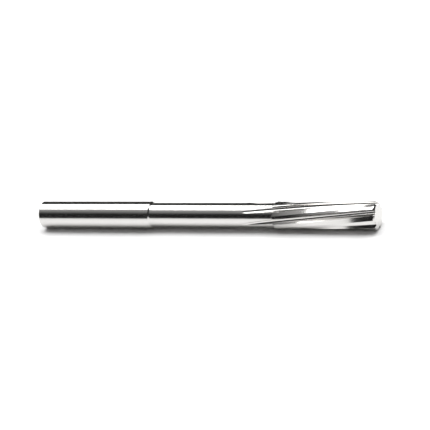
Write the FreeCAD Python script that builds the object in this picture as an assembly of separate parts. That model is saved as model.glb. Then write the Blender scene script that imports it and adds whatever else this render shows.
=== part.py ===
"""Machine reamer with a plain cylindrical shank and left-hand helical flutes for a right-hand cut.

The axis of the tool is X. The origin is the centre of the shank's back face, +X runs towards the
cutting end and +Z is up. The tool is ground from one bar, so it is one solid.
"""

import FreeCAD
import Part
import math
import os

# Lengths along the axis, in millimetres.
overall_length = 133.0
shank_length = 46.0
flute_length = 38.0

# Diameters, in millimetres.
reamer_diameter = 10.0
shank_diameter = 10.0
neck_diameter = 9.0
core_diameter = 7.4

# Turned edges of the blank, in millimetres.
shank_back_chamfer = 0.8
shank_front_chamfer = 0.5
blade_back_chamfer = 0.4

# Lead chamfer that does the cutting, in millimetres and degrees.
lead_length = 0.7
lead_angle = 45.0
lead_relief_angle = 6.0

# Teeth. The pitch is uneven to stop chatter, and repeats so that teeth face each other in pairs.
tooth_pitches = [60.0, 62.0, 58.0, 60.0, 62.0, 58.0]
first_tooth_angle = 31.0
helix_angle = 6.0
rake_angle = 3.0

# Land of each tooth: a round margin, then two flats that fall away to the heel.
margin_width = 0.25
primary_width = 0.9
primary_angle = 10.0
flute_angle = 27.0
heel_drop = 0.22

# Flute form. The wheel leaves it in a long arc that fades out on the neck.
flute_root_radius = 0.9
run_out_length = 12.0
run_out_radius = 220.0

# Room that cutters need beyond the faces they cut, and the step between their sections.
overcut = 1.5
section_step = 3.0

flute_start = overall_length - flute_length
twist_per_mm = math.degrees(math.tan(math.radians(helix_angle)) / (reamer_diameter / 2))


def polar(radius, angle):
    """Point of a cross-section: u is straight out through the cutting edge, v runs round the tool."""
    turn = math.radians(angle)
    return FreeCAD.Vector(radius * math.cos(turn), radius * math.sin(turn), 0)


def along(angle):
    """Unit direction in a cross-section, at an angle from u."""
    return polar(1.0, angle)


def blank():
    """Turned bar: chamfered shank, neck, and the full diameter that carries the teeth."""
    shank_radius = shank_diameter / 2
    neck_radius = neck_diameter / 2
    blade_radius = reamer_diameter / 2
    shank_step = shank_radius - neck_radius
    lead_drop = lead_length * math.tan(math.radians(lead_angle))
    profile = [
        (0, 0),
        (0, shank_radius - shank_back_chamfer),
        (shank_back_chamfer, shank_radius),
        (shank_length, shank_radius),
        (shank_length + min(shank_front_chamfer, shank_step), neck_radius),
        (flute_start - blade_back_chamfer, neck_radius),
        (flute_start, blade_radius),
        (overall_length - lead_length, blade_radius),
        (overall_length, blade_radius - lead_drop),
        (overall_length, 0),
    ]
    points = [FreeCAD.Vector(x, 0, radius) for x, radius in profile]
    face = Part.Face(Part.makePolygon(points + points[:1]))
    return face.revolve(FreeCAD.Vector(0, 0, 0), FreeCAD.Vector(1, 0, 0), 360)


def full_depth_start():
    """Where along the axis the wheel has reached the core and the run-out ends."""
    rise = (neck_diameter - core_diameter) / 2
    return flute_start - run_out_length + math.sqrt(2 * run_out_radius * rise - rise ** 2)


def wheel_lift(x):
    """How far the wheel stands above the core at a station, while it leaves the flute."""
    distance = max(0.0, full_depth_start() - x)
    return run_out_radius - math.sqrt(run_out_radius ** 2 - distance ** 2)


def placed(wire, x, angle):
    """Stand a cross-section up at a station of the axis, with its u direction turned to an angle."""
    stood = wire.copy()
    upright = FreeCAD.Rotation(FreeCAD.Vector(0, 0, 1), FreeCAD.Vector(0, -1, 0), FreeCAD.Vector(1, 0, 0))
    turned = FreeCAD.Rotation(FreeCAD.Vector(1, 0, 0), angle)
    stood.Placement = FreeCAD.Placement(FreeCAD.Vector(x, 0, 0), turned * upright)
    return stood


def stations(start, end):
    """Evenly spaced places along the axis, no further apart than the section step."""
    count = math.ceil((end - start) / section_step)
    return [start + (end - start) * index / count for index in range(count + 1)]


def edge_angle(tooth_angle, x):
    """Angle of a cutting edge at a station: the left-hand helix turns it as it runs back."""
    return tooth_angle + (overall_length - x) * twist_per_mm


def heel_point(land_width_angle):
    """Back corner of a land, measured from its own cutting edge."""
    return polar(reamer_diameter / 2 - heel_drop, -land_width_angle)


def flute_section(lift):
    """Wheel form between two teeth: rake face, round root and the back of the next tooth."""
    radius = reamer_diameter / 2
    rake = math.radians(rake_angle)
    edge = polar(radius, 0)
    inward = along(180 + rake_angle)
    root_centre_radius = core_diameter / 2 + flute_root_radius
    root_side = flute_root_radius - radius * math.sin(rake)
    rake_depth = radius * math.cos(rake) - math.sqrt(root_centre_radius ** 2 - root_side ** 2)
    root_start = edge + inward * rake_depth
    root_centre = root_start + along(90 + rake_angle) * flute_root_radius

    heel = polar(radius - heel_drop, flute_angle)
    to_centre = root_centre - heel
    reach = to_centre.Length
    centre_angle = math.degrees(math.atan2(to_centre.y, to_centre.x))
    down = along(centre_angle - math.degrees(math.asin(flute_root_radius / reach)))
    root_end = heel + down * math.sqrt(reach ** 2 - flute_root_radius ** 2)
    bottom = root_centre + ((root_start + root_end) / 2 - root_centre).normalize() * flute_root_radius

    mouth = edge - inward * overcut
    back = heel - down * overcut
    edges = [
        Part.makeLine(mouth, root_start),
        Part.Arc(root_start, bottom, root_end).toShape(),
        Part.makeLine(root_end, back),
        Part.makeLine(back, mouth),
    ]
    wire = Part.Wire(edges)
    wire.translate(along(flute_angle / 2) * lift)
    return wire


def flute_cutter(tooth_angle):
    """Space that the wheel sweeps in front of one tooth, from the run-out to past the tip."""
    start = flute_start - run_out_length - overcut
    sections = []
    for x in stations(start, overall_length + overcut):
        sections.append(placed(flute_section(wheel_lift(x)), x, edge_angle(tooth_angle, x)))
    return Part.makeLoft(sections, True, False)


def relief_section(land_width_angle):
    """What is ground off behind the margin: two flats from the margin's end down to the heel."""
    radius = reamer_diameter / 2
    margin_angle = math.degrees(margin_width / radius)
    margin_end = polar(radius, -margin_angle)
    primary = along(-margin_angle - 90 - primary_angle)
    primary_end = margin_end + primary * primary_width
    heel = heel_point(land_width_angle)
    secondary = (heel - primary_end).normalize()
    front = margin_end - primary * overcut
    back = heel + secondary * overcut
    outside = radius + overcut
    outer_front = polar(outside, math.degrees(math.atan2(front.y, front.x)))
    outer_back = polar(outside, math.degrees(math.atan2(back.y, back.x)))
    return Part.makePolygon([front, primary_end, back, outer_back, outer_front, front])


def relief_cutter(tooth_angle, land_width_angle):
    """Relief of one tooth along the whole fluted length."""
    start = flute_start - blade_back_chamfer - overcut
    section = relief_section(land_width_angle)
    sections = []
    for x in stations(start, overall_length + overcut):
        sections.append(placed(section, x, edge_angle(tooth_angle, x)))
    return Part.makeLoft(sections, True, False)


def reamer():
    """The finished tool: every flute and relief cut from the blank."""
    cutters = []
    tooth_angle = first_tooth_angle
    for pitch in tooth_pitches:
        cutters.append(flute_cutter(tooth_angle))
        tooth_angle += pitch
        cutters.append(relief_cutter(tooth_angle, pitch - flute_angle))
    return blank().cut(cutters)


def main():
    os.makedirs("parts", exist_ok=True)
    tool = reamer()
    print("reamer: solids", len(tool.Solids), "valid", tool.isValid(), "volume", round(tool.Volume, 2))
    tool.exportStep("parts/reamer.step")


main()
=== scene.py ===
import bpy
import bmesh
import math
from mathutils import Matrix, Vector


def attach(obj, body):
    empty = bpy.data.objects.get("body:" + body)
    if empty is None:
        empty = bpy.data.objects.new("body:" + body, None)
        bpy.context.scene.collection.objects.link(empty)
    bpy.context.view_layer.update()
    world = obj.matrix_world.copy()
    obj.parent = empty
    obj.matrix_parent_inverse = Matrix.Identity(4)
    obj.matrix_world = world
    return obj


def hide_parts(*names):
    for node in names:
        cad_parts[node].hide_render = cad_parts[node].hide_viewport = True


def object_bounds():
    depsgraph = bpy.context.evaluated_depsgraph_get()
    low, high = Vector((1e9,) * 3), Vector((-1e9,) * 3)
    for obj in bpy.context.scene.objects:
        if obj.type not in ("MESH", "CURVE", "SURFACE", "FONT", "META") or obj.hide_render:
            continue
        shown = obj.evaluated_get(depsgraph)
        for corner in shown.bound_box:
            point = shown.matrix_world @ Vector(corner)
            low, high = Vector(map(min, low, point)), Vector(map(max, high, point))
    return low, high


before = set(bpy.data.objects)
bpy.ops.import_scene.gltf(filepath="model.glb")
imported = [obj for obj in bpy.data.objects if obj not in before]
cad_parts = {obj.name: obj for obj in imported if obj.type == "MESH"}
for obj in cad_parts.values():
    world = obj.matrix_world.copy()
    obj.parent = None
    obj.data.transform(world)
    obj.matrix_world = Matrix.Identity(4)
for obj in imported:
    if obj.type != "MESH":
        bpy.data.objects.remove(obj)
cadLow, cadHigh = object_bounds()
mm = 0.001

# the turned blank, all in millimetres
blankSizes = {
    "overallLength": 133.0,
    "shankLength": 46.0,
    "fluteLength": 38.0,
    "shankRadius": 5.0,
    "neckRadius": 4.5,
    "toothRadius": 5.0,
    "backChamfer": 0.8,
    "shankStep": 0.5,
    "toothStep": 0.4,
    "leadLength": 0.7,
    "edgeRound": 0.06,
    "rowStep": 0.35,
    "bevelShare": 0.7,
    "shankRows": 6,
    "neckRows": 5,
    "leadRows": 4,
    "endRows": 12,
}

# the ground teeth, in millimetres and degrees
toothSizes = {
    "pitches": [60.0, 62.0, 58.0, 60.0, 62.0, 58.0],
    "firstAngle": 31.0,
    "helix": 6.0,
    "rake": 3.0,
    "marginWidth": 0.25,
    "primaryWidth": 0.9,
    "primaryAngle": 10.0,
    "fluteAngle": 27.0,
    "heelDrop": 0.22,
    "coreRadius": 3.7,
    "rootRadius": 0.9,
    "runOutLength": 12.0,
    "runOutRadius": 220.0,
    "secondaryPoints": 8,
    "primaryPoints": 4,
    "marginPoints": 3,
    "rakePoints": 5,
    "rootPoints": 26,
    "backPoints": 12,
}


# a node socket that can be used in ordinary arithmetic
class Wire:
    def __init__(self, tree, socket):
        self.tree = tree
        self.socket = socket

    def join(self, operation, *values):
        node = self.tree.nodes.new("ShaderNodeMath")
        node.operation = operation
        for slot, value in zip(node.inputs, values):
            if isinstance(value, Wire):
                self.tree.links.new(value.socket, slot)
            else:
                slot.default_value = value
        return Wire(self.tree, node.outputs[0])

    def __add__(self, other):
        return self.join("ADD", self, other)

    def __radd__(self, other):
        return self.join("ADD", other, self)

    def __sub__(self, other):
        return self.join("SUBTRACT", self, other)

    def __rsub__(self, other):
        return self.join("SUBTRACT", other, self)

    def __mul__(self, other):
        return self.join("MULTIPLY", self, other)

    def __rmul__(self, other):
        return self.join("MULTIPLY", other, self)

    def __truediv__(self, other):
        return self.join("DIVIDE", self, other)

    def __rtruediv__(self, other):
        return self.join("DIVIDE", other, self)

    def __pow__(self, other):
        return self.join("POWER", self, other)

    def __gt__(self, other):
        return self.join("GREATER_THAN", self, other)


# a node tree that is built by one method
class Graph:
    def __init__(self, tree):
        self.tree = tree

    def add(self, kind, settings=None, inputs=None, out=0):
        node = self.tree.nodes.new(kind)
        for name, value in (settings or {}).items():
            setattr(node, name, value)
        for name, value in (inputs or {}).items():
            if isinstance(value, Wire):
                self.tree.links.new(value.socket, node.inputs[name])
            else:
                node.inputs[name].default_value = value
        return Wire(self.tree, node.outputs[out])

    def number(self, operation, *values):
        return Wire(self.tree, None).join(operation, *values)


def polar(radius, degrees):
    turn = math.radians(degrees)
    return Vector((radius * math.cos(turn), radius * math.sin(turn)))


def spread(start, end, count):
    # evenly spaced points from start up to but not including end
    return [start.lerp(end, index / count) for index in range(count)]


def toothSection(sizes, blank, landAngle):
    # one tooth and the flute in front of it, seen along the tool, from its heel round to the next
    radius = blank["toothRadius"]
    marginAngle = math.degrees(sizes["marginWidth"] / radius)
    marginEnd = polar(radius, -marginAngle)
    primaryEnd = marginEnd + polar(sizes["primaryWidth"], -marginAngle - 90 - sizes["primaryAngle"])
    heel = polar(radius - sizes["heelDrop"], -landAngle)
    edge = polar(radius, 0)

    rake = math.radians(sizes["rake"])
    rootRadius = sizes["rootRadius"]
    reach = sizes["coreRadius"] + rootRadius
    side = rootRadius - radius * math.sin(rake)
    depth = radius * math.cos(rake) - math.sqrt(reach ** 2 - side ** 2)
    rootStart = edge + polar(depth, 180 + sizes["rake"])
    centre = rootStart + polar(rootRadius, 90 + sizes["rake"])
    nextHeel = polar(radius - sizes["heelDrop"], sizes["fluteAngle"])
    toCentre = centre - nextHeel
    pull = math.degrees(math.atan2(toCentre.y, toCentre.x))
    down = pull - math.degrees(math.asin(rootRadius / toCentre.length))
    rootEnd = nextHeel + polar(math.sqrt(toCentre.length ** 2 - rootRadius ** 2), down)
    firstTurn = math.degrees(math.atan2(rootStart.y - centre.y, rootStart.x - centre.x)) % 360
    lastTurn = math.degrees(math.atan2(rootEnd.y - centre.y, rootEnd.x - centre.x)) % 360

    land = spread(heel, primaryEnd, sizes["secondaryPoints"])
    land += spread(primaryEnd, marginEnd, sizes["primaryPoints"])
    last = sizes["marginPoints"] - 1
    land += [polar(radius, -marginAngle * (1 - step / last)) for step in range(last + 1)]
    flute = spread(edge, rootStart, sizes["rakePoints"])[1:]
    arcCount = sizes["rootPoints"]
    for index in range(arcCount):
        turn = firstTurn + (lastTurn - firstTurn) * index / arcCount
        flute.append(centre + polar(rootRadius, turn))
    flute += spread(rootEnd, nextHeel, sizes["backPoints"])
    return [(point, 0.0) for point in land] + [(point, 1.0) for point in flute]


def sectionMesh(sizes, blank):
    # the closed outline of all teeth, with what the tree needs kept on its points
    outs, rounds, wheels, turns, places = [], [], [], [], []
    toothAngle = sizes["firstAngle"]
    pitches = sizes["pitches"]
    for index, pitch in enumerate(pitches):
        landAngle = pitches[index - 1] - sizes["fluteAngle"]
        for point, wheel in toothSection(sizes, blank, landAngle):
            outs.append(point.x * mm)
            rounds.append(point.y * mm)
            wheels.append(wheel)
            turns.append(math.radians(toothAngle))
            places.append((index, len(places), 0))
        toothAngle += pitch
    count = len(outs)
    mesh = bpy.data.meshes.new("toothSection")
    ring = [polar(blank["toothRadius"] * mm, 360 * index / count) for index in range(count)]
    mesh.from_pydata([(p.x, p.y, 0) for p in ring], [(i, (i + 1) % count) for i in range(count)], [])
    for name, values in (("out", outs), ("round", rounds), ("wheel", wheels), ("turn", turns)):
        mesh.attributes.new(name, "FLOAT", "POINT").data.foreach_set("value", values)
    return bpy.data.objects.new("toothSection", mesh)


def blankRows(blank, sizes):
    # stations along the tool and the radius of the turned blank at each
    length = blank["overallLength"]
    shank = blank["shankLength"]
    teeth = length - blank["fluteLength"]
    shankRadius, neckRadius, toothRadius = blank["shankRadius"], blank["neckRadius"], blank["toothRadius"]
    soft = blank["edgeRound"]
    bevel = soft * blank["bevelShare"]
    chamfer = blank["backChamfer"]
    rows = [(0, 0), (0, shankRadius * 0.5), (0, shankRadius - chamfer - soft)]
    rows += [(bevel, shankRadius - chamfer + bevel)]
    rows += [(chamfer - bevel, shankRadius - bevel), (chamfer + soft, shankRadius)]
    shankRows = blank["shankRows"]
    rows += [(shank * step / shankRows, shankRadius) for step in range(1, shankRows)]
    rows += [(shank - soft, shankRadius), (shank + bevel, shankRadius - bevel)]
    neckStart = shank + blank["shankStep"]
    rows += [(neckStart, neckRadius)]
    wheelStart = teeth - sizes["runOutLength"]
    neckRows = blank["neckRows"]
    neckLength = wheelStart - neckStart
    rows += [(neckStart + neckLength * step / neckRows, neckRadius) for step in range(1, neckRows)]
    runOut = teeth - blank["toothStep"] - wheelStart
    count = math.ceil(runOut / blank["rowStep"])
    rows += [(wheelStart + runOut * i / count, neckRadius) for i in range(count + 1)]
    lead = blank["leadLength"]
    bladeLength = length - lead - teeth
    count = math.ceil(bladeLength / blank["rowStep"])
    rows += [(teeth + bladeLength * i / count, toothRadius) for i in range(count + 1)]
    leadRows = blank["leadRows"]
    for i in range(1, leadRows):
        rows.append((length - lead * (1 - i / leadRows), toothRadius - lead * i / leadRows))
    endRows = blank["endRows"]
    rows += [(length, (toothRadius - lead) * (1 - i / endRows)) for i in range(endRows + 1)]
    return rows


def axisMesh(blank, sizes):
    rows = blankRows(blank, sizes)
    mesh = bpy.data.meshes.new("reamerBody")
    spots = [(index * mm, 0, 0) for index in range(len(rows))]
    mesh.from_pydata(spots, [(i, i + 1) for i in range(len(rows) - 1)], [])
    mesh.attributes.new("station", "FLOAT", "POINT").data.foreach_set("value", [x * mm for x, _ in rows])
    mesh.attributes.new("blank", "FLOAT", "POINT").data.foreach_set("value", [r * mm for _, r in rows])
    return bpy.data.objects.new("reamerBody", mesh)


def grindTree():
    # sweeps the tooth section along the blank, lifts the wheel out and twists the helix
    tree = bpy.data.node_groups.new("grindTeeth", "GeometryNodeTree")
    sockets = {}
    for name, kind in (
        ("Axis", "NodeSocketGeometry"),
        ("Section", "NodeSocketObject"),
        ("Metal", "NodeSocketMaterial"),
        ("Tip Place", "NodeSocketFloat"),
        ("Twist", "NodeSocketFloat"),
        ("Run-out Start", "NodeSocketFloat"),
        ("Full Depth", "NodeSocketFloat"),
        ("Wheel Radius", "NodeSocketFloat"),
        ("Lift Direction", "NodeSocketFloat"),
    ):
        sockets[name] = tree.interface.new_socket(name=name, in_out="INPUT", socket_type=kind)
    tree.interface.new_socket(name="Tool", in_out="OUTPUT", socket_type="NodeSocketGeometry")
    graph = Graph(tree)
    entry = tree.nodes.new("NodeGroupInput")
    given = {name: Wire(tree, entry.outputs[name]) for name in sockets}

    def kept(name):
        return graph.add("GeometryNodeInputNamedAttribute", {"data_type": "FLOAT"}, {"Name": name})

    axis = graph.add("GeometryNodeMeshToCurve", inputs={"Mesh": given["Axis"]})
    sectionInfo = graph.add("GeometryNodeObjectInfo", inputs={"Object": given["Section"]})
    sectionInfo.socket = sectionInfo.socket.node.outputs["Geometry"]
    outline = graph.add("GeometryNodeMeshToCurve", inputs={"Mesh": sectionInfo})
    swept = graph.add("GeometryNodeCurveToMesh", inputs={"Curve": axis, "Profile Curve": outline})

    x, blank = kept("station"), kept("blank")
    out, around, wheel, turn = kept("out"), kept("round"), kept("wheel"), kept("turn")
    behind = graph.number("MAXIMUM", given["Full Depth"] - x, 0.0)
    behind = graph.number("MINIMUM", behind, given["Full Depth"] - given["Run-out Start"])
    rise = given["Wheel Radius"] - graph.number("SQRT", given["Wheel Radius"] ** 2 - behind ** 2)
    lift = rise * wheel
    out = out + lift * graph.number("COSINE", given["Lift Direction"])
    around = around + lift * graph.number("SINE", given["Lift Direction"])
    radius = graph.number("SQRT", out * out + around * around)
    fit = blank / radius
    toothed = x > given["Run-out Start"] - 1e-6
    fit = graph.number("MINIMUM", fit, toothed + (1 - toothed) * 10.0)
    out, around = out * fit, around * fit
    helix = turn + (given["Tip Place"] - graph.number("MAXIMUM", x, given["Run-out Start"])) * given["Twist"]
    cosine, sine = graph.number("COSINE", helix), graph.number("SINE", helix)
    upward = out * cosine - around * sine
    forward = out * sine + around * cosine
    place = graph.add("ShaderNodeCombineXYZ", inputs={"X": x, "Y": 0.0 - forward, "Z": upward})
    ground = graph.add("GeometryNodeSetPosition", inputs={"Geometry": swept, "Position": place})
    depth = (blank - graph.number("SQRT", out * out + around * around)) / mm
    cut = graph.add(
        "GeometryNodeStoreNamedAttribute",
        {"data_type": "FLOAT", "domain": "POINT"},
        {"Geometry": ground, "Name": "cutDepth", "Value": depth * toothed},
    )
    closed = graph.add("GeometryNodeMergeByDistance", inputs={"Geometry": cut, "Distance": 2e-6})
    real = graph.add("GeometryNodeRealizeInstances", inputs={"Geometry": closed})
    dressed = graph.add("GeometryNodeSetMaterial", inputs={"Geometry": real, "Material": given["Metal"]})
    leave = tree.nodes.new("NodeGroupOutput")
    tree.links.new(dressed.socket, leave.inputs["Tool"])
    return tree, sockets


metalSizes = {
    "colour": (0.63, 0.62, 0.605),
    "ringScale": (5200, 60, 60),
    "coarseRingScale": (900, 40, 40),
    "smudgeScale": (70, 160, 160),
    "streakScale": (140, 4200, 4200),
    "bumpStrength": 0.12,
    "bumpDepth": 0.00002,
    "roughness": 0.15,
}


def groundMetal():
    # bright ground metal: fine rings round the cylinders, streaks along the flutes
    material = bpy.data.materials.new("groundMetal")
    material.use_nodes = True
    tree = material.node_tree
    tree.nodes.clear()
    graph = Graph(tree)
    coords = graph.add("ShaderNodeTexCoord", out=3)
    cutDepth = graph.add("ShaderNodeAttribute", {"attribute_name": "cutDepth"}, out=2)
    inFlute = graph.number("MINIMUM", cutDepth * 8.0, 1.0)

    def scratches(scale, detail, roughness):
        stretched = graph.add("ShaderNodeMapping", inputs={"Vector": coords, "Scale": scale})
        return graph.add(
            "ShaderNodeTexNoise",
            {"noise_dimensions": "3D"},
            {"Vector": stretched, "Scale": 1.0, "Detail": detail, "Roughness": roughness},
        )

    rings = scratches(metalSizes["ringScale"], 3.0, 0.65)
    coarseRings = scratches(metalSizes["coarseRingScale"], 2.0, 0.5)
    smudge = scratches(metalSizes["smudgeScale"], 3.0, 0.5)
    streaks = scratches(metalSizes["streakScale"], 2.0, 0.6)
    onCylinder = 1 - inFlute
    marks = rings * onCylinder + streaks * inFlute
    height = marks * 0.6 + coarseRings * onCylinder * 0.4
    bump = graph.add(
        "ShaderNodeBump",
        inputs={
            "Strength": metalSizes["bumpStrength"],
            "Distance": metalSizes["bumpDepth"],
            "Height": height,
        },
    )
    rough = metalSizes["roughness"] + smudge * 0.05 + (marks - 0.5) * 0.05 + inFlute * -0.02
    shade = graph.number("MINIMUM", 0.94 + marks * 0.08 + smudge * 0.03, 1.05)
    colour = metalSizes["colour"]
    tint = graph.add("ShaderNodeVectorMath", {"operation": "SCALE"}, {0: colour, "Scale": shade})
    surface = graph.add(
        "ShaderNodeBsdfPrincipled",
        inputs={"Base Color": tint, "Metallic": 1.0, "Roughness": rough, "Normal": bump},
    )
    end = tree.nodes.new("ShaderNodeOutputMaterial")
    tree.links.new(surface.socket, end.inputs["Surface"])
    return material


def makeReamer(metal):
    tree, sockets = grindTree()
    section = sectionMesh(toothSizes, blankSizes)
    axis = axisMesh(blankSizes, toothSizes)
    for helper in (section, axis):
        bpy.context.scene.collection.objects.link(helper)
    teeth = blankSizes["overallLength"] - blankSizes["fluteLength"]
    runOutStart = teeth - toothSizes["runOutLength"]
    rise = blankSizes["neckRadius"] - toothSizes["coreRadius"]
    wheel = toothSizes["runOutRadius"]
    fullDepth = runOutStart + math.sqrt(2 * wheel * rise - rise ** 2)
    twist = math.tan(math.radians(toothSizes["helix"])) / (blankSizes["toothRadius"] * mm)
    values = {
        "Section": section,
        "Metal": metal,
        "Tip Place": blankSizes["overallLength"] * mm,
        "Twist": twist,
        "Run-out Start": runOutStart * mm,
        "Full Depth": fullDepth * mm,
        "Wheel Radius": wheel * mm,
        "Lift Direction": math.radians(toothSizes["fluteAngle"] / 2),
    }
    grinding = axis.modifiers.new("grinding", "NODES")
    grinding.node_group = tree
    for name, value in values.items():
        grinding[sockets[name].identifier] = value
    bpy.context.view_layer.update()
    ready = axis.evaluated_get(bpy.context.evaluated_depsgraph_get())
    mesh = bpy.data.meshes.new_from_object(ready)
    bpy.data.objects.remove(section)
    bpy.data.objects.remove(axis)
    shell = bmesh.new()
    shell.from_mesh(mesh)
    bmesh.ops.dissolve_degenerate(shell, dist=1e-6, edges=shell.edges)
    bmesh.ops.recalc_face_normals(shell, faces=shell.faces)
    print("reamer mesh:", len(shell.faces), "faces, open edges", sum(e.is_boundary for e in shell.edges))
    shell.to_mesh(mesh)
    shell.free()
    mesh.shade_smooth()
    mesh.set_sharp_from_angle(angle=math.radians(7))
    tool = bpy.data.objects.new("groundReamer", mesh)
    bpy.context.scene.collection.objects.link(tool)
    return tool


studioSizes = {
    "floorWidth": 6.0,
    "boxWidth": 0.55,
    "boxLength": 1.3,
    "boxDistance": 0.62,
    "boxElevation": 105.0,
    "boxPower": 9.0,
    "skyBright": 0.5,
    "skyLow": 0.02,
    "skyEdge": 0.5,
}


def makeFloor(low):
    mesh = bpy.data.meshes.new("studioFloor")
    half = studioSizes["floorWidth"] / 2
    corners = [(-half, -half, low), (half, -half, low), (half, half, low), (-half, half, low)]
    mesh.from_pydata(corners, [], [(0, 1, 2, 3)])
    floor = bpy.data.objects.new("studioFloor", mesh)
    bpy.context.scene.collection.objects.link(floor)
    paper = bpy.data.materials.new("whitePaper")
    paper.use_nodes = True
    surface = paper.node_tree.nodes["Principled BSDF"]
    surface.inputs["Base Color"].default_value = (0.9, 0.9, 0.9, 1)
    surface.inputs["Roughness"].default_value = 0.9
    surface.inputs["Specular IOR Level"].default_value = 0.0
    mesh.materials.append(paper)


def makeLights(centre):
    # one long softbox above and a little behind, parallel to the tool
    lamp = bpy.data.lights.new("overheadSoftbox", "AREA")
    lamp.shape = "RECTANGLE"
    lamp.size = studioSizes["boxLength"]
    lamp.size_y = studioSizes["boxWidth"]
    lamp.energy = studioSizes["boxPower"]
    box = bpy.data.objects.new("overheadSoftbox", lamp)
    turn = math.radians(studioSizes["boxElevation"])
    away = Vector((0, -math.cos(turn), math.sin(turn)))
    box.location = centre + away * studioSizes["boxDistance"]
    box.rotation_euler = (math.pi / 2 - turn, 0, 0)
    bpy.context.scene.collection.objects.link(box)

    # a dome that is dark near the horizon and brighter overhead
    world = bpy.data.worlds.new("studioDome")
    world.use_nodes = True
    tree = world.node_tree
    tree.nodes.clear()
    graph = Graph(tree)
    direction = graph.add("ShaderNodeTexCoord", out=0)
    parts = graph.add("ShaderNodeSeparateXYZ", inputs={"Vector": direction}, out=2)
    level = graph.add(
        "ShaderNodeMapRange",
        {"interpolation_type": "SMOOTHSTEP"},
        {
            "Value": parts,
            "From Min": studioSizes["skyEdge"],
            "From Max": 1.0,
            "To Min": studioSizes["skyLow"],
            "To Max": studioSizes["skyBright"],
        },
    )
    glow = graph.add("ShaderNodeBackground", inputs={"Color": (1, 1, 1, 1), "Strength": level})
    end = tree.nodes.new("ShaderNodeOutputWorld")
    tree.links.new(glow.socket, end.inputs["Surface"])
    bpy.context.scene.world = world


cameraSizes = {
    "elevation": 30.0,
    "yaw": 24.2,
    "distance": 0.628,
    "lens": 145.7,
    "aim": 0.0709,
    "roll": 0.2,
}


def makeCamera():
    # the tool's axis makes the yaw angle with the picture plane and lies level in the picture
    elevation = math.radians(cameraSizes["elevation"])
    azimuth = math.asin(math.sin(math.radians(cameraSizes["yaw"])) / math.cos(elevation))
    back = Vector((
        math.cos(elevation) * math.sin(azimuth),
        -math.cos(elevation) * math.cos(azimuth),
        math.sin(elevation),
    ))
    right = (Vector((1, 0, 0)) - back * back.x).normalized()
    upward = back.cross(right)
    turn = Matrix((right, upward, back)).transposed().to_4x4()
    data = bpy.data.cameras.new("studioCamera")
    data.lens = cameraSizes["lens"]
    data.sensor_width = 36.0
    data.clip_start = 0.01
    data.clip_end = 50.0
    camera = bpy.data.objects.new("studioCamera", data)
    place = Matrix.Translation(Vector((cameraSizes["aim"], 0, 0)) + back * cameraSizes["distance"])
    camera.matrix_world = place @ turn @ Matrix.Rotation(math.radians(cameraSizes["roll"]), 4, "Z")
    bpy.context.scene.collection.objects.link(camera)
    bpy.context.scene.camera = camera


metal = groundMetal()
tool = makeReamer(metal)
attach(tool, "root")
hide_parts("reamer")
print("tool ground")
makeFloor(cadLow[2])
makeLights(Vector(((cadLow[0] + cadHigh[0]) / 2, 0, 0)))
makeCamera()
print("studio ready")
bpy.context.scene.view_settings.view_transform = "Standard"
